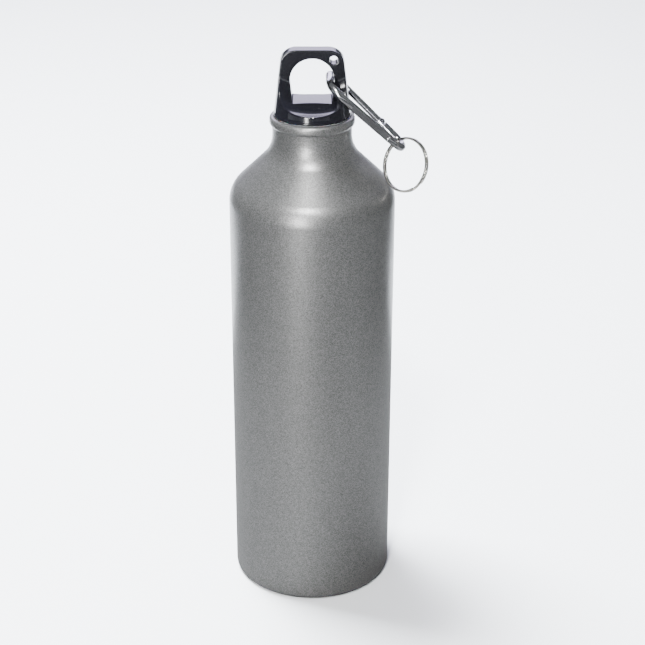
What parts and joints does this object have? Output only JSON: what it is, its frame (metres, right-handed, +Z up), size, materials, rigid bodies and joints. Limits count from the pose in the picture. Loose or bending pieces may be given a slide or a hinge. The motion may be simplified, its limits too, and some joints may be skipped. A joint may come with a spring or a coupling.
{
  "type": "sports water bottle with clip and key ring",
  "caption": "Satin aluminium sports bottle with a black screw-in loop stopper, a spring-gate clip hung in the loop and a split key ring on the clip.",
  "frame": {"origin": "centre of the standing ring under the bottle, on the surface it stands on", "axes": "+Z up along the bottle's axis; +X toward the side the clip hangs on; -Y toward the front, so the loop is broad across X and is looked through along Y"},
  "size_m": [0.0864, 0.073, 0.2552],
  "materials": {
    "bottle_aluminium": "satin metallic with a fine sparkle",
    "thread_ring_aluminium": "turned, bare",
    "gasket_silicone": "matte pale silicone",
    "cap_gloss_plastic": "glossy moulded black",
    "plug_plastic": "matte moulded black",
    "clip_steel": "polished steel wire",
    "spring_steel": "drawn spring steel",
    "ring_steel": "polished flat steel wire"
  },
  "bodies": {
    "bottle": {"bottle_shell": "bottle_aluminium", "thread_ring": "thread_ring_aluminium"},
    "gasket": {"gasket": "gasket_silicone"},
    "cap": {"cap_shell": "cap_gloss_plastic", "cap_plug": "plug_plastic"},
    "clip": {"clip_frame": "clip_steel", "gate_rivet": "clip_steel"},
    "gate": {"clip_gate": "clip_steel", "gate_catch_pin": "clip_steel", "gate_spring": "spring_steel"},
    "plunger": {"gate_plunger": "spring_steel"},
    "split_ring": {"split_ring": "ring_steel"}
  },
  "joints": [
    {"name": "cap_lift", "type": "slide", "parent": "bottle", "child": "gasket", "axis": [0, 0, 1], "range_m": [0, 0.016]},
    {"name": "cap_turn", "type": "hinge", "parent": "gasket", "child": "cap", "pos_m": [0, 0, 0.22592], "axis": [0, 0, 1], "range_deg": [0, 1440]},
    {"name": "clip_swing", "type": "hinge", "parent": "cap", "child": "clip", "pos_m": [0.00755, 0, 0.24162], "axis": [0, -1, 0], "range_deg": [0, 180]},
    {"name": "gate_swing", "type": "hinge", "parent": "clip", "child": "gate", "pos_m": [0.02987, 0.00813, 0.21968], "axis": [0.7009, 0, 0.7133], "range_deg": [0, 3], "stiffness_Nm_per_rad": 0.02, "springref_deg": -5.73},
    {"name": "plunger_slide", "type": "slide", "parent": "gate", "child": "plunger", "axis": [-0.7092, 0.1062, 0.6969], "range_m": [0, 0.0003], "stiffness_N_per_m": 5, "springref_m": -0.02, "deforming": ["gate_spring"]},
    {"name": "ring_swing", "type": "hinge", "parent": "clip", "child": "split_ring", "pos_m": [0.0378, -0.00164, 0.21189], "axis": [-0.5131, -0.6947, 0.5042], "range_deg": [0, 60]}
  ],
  "couplings": [
    {"joint": "cap_turn", "follows": "cap_lift", "rad_per_m": 1570.8}
  ]
}
